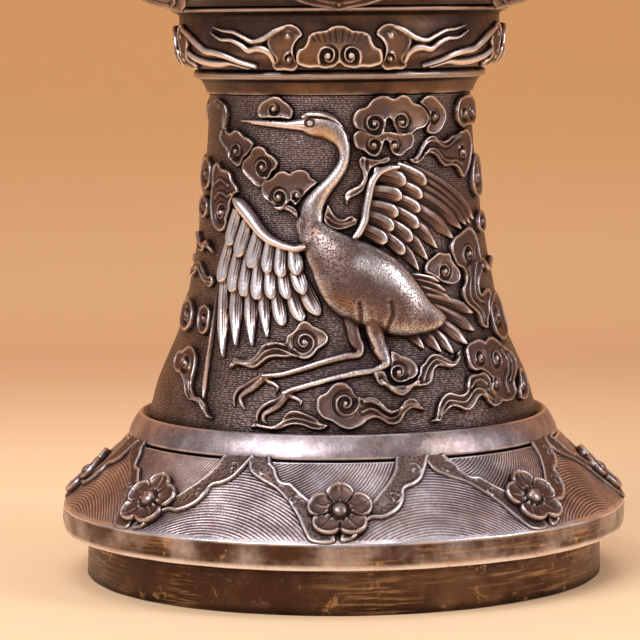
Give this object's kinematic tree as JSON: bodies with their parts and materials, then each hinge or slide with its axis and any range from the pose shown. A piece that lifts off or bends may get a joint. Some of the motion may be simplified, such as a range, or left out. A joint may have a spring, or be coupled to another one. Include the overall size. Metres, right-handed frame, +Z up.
{
  "type": "bronze flower vase",
  "caption": "Tall waisted bronze vase with a trumpet mouth, a rounded body between knops, a stem with cranes among clouds in relief, and a flared foot with plum blossoms.",
  "frame": {"origin": "centre of the ring that the vase stands on", "axes": "+Z up the vase's axis to the mouth; -Y is the front, in the middle of a crane; +X is to the viewer's right"},
  "size_m": [0.12, 0.12, 0.3],
  "materials": {
    "dark_bronze": "satin, dark brown patina",
    "worn_bronze": "worn, golden brown, chipped at the edges",
    "rubbed_bronze": "rubbed to a soft silvery shine on high points"
  },
  "bodies": {
    "root": {"foot_ring": "worn_bronze", "floor_disc": "dark_bronze", "skirt": "dark_bronze", "waist_band": "rubbed_bronze", "stem": "dark_bronze", "stem_collar": "dark_bronze", "lower_knop": "dark_bronze", "cup": "dark_bronze", "body_drum": "dark_bronze", "shoulder": "dark_bronze", "neck_knop": "dark_bronze", "neck": "dark_bronze", "lip": "worn_bronze", "plum_blossom_1": "rubbed_bronze", "plum_blossom_2": "rubbed_bronze", "plum_blossom_3": "rubbed_bronze", "plum_blossom_4": "rubbed_bronze", "plum_blossom_5": "rubbed_bronze", "plum_blossom_6": "rubbed_bronze", "plum_blossom_7": "rubbed_bronze", "plum_blossom_8": "rubbed_bronze", "knop_cloud_1": "rubbed_bronze", "knop_cloud_2": "rubbed_bronze", "knop_cloud_3": "rubbed_bronze", "knop_cloud_4": "rubbed_bronze", "crane_1": "rubbed_bronze", "crane_2": "rubbed_bronze", "cloud_beak_1": "rubbed_bronze", "cloud_beak_2": "rubbed_bronze", "cloud_neck_1": "rubbed_bronze", "cloud_neck_2": "rubbed_bronze", "cloud_crown_1": "rubbed_bronze", "cloud_crown_2": "rubbed_bronze", "cloud_streamer_1": "rubbed_bronze", "cloud_streamer_2": "rubbed_bronze", "cloud_rump_1": "rubbed_bronze", "cloud_rump_2": "rubbed_bronze", "cloud_leg_1": "rubbed_bronze", "cloud_leg_2": "rubbed_bronze", "cloud_toe_1": "rubbed_bronze", "cloud_toe_2": "rubbed_bronze", "cloud_belly_1": "rubbed_bronze", "cloud_belly_2": "rubbed_bronze", "cloud_hem_1": "rubbed_bronze", "cloud_hem_2": "rubbed_bronze", "cloud_pinion_1": "rubbed_bronze", "cloud_pinion_2": "rubbed_bronze", "cloud_wing_1": "rubbed_bronze", "cloud_wing_2": "rubbed_bronze"}
  },
  "joints": []
}
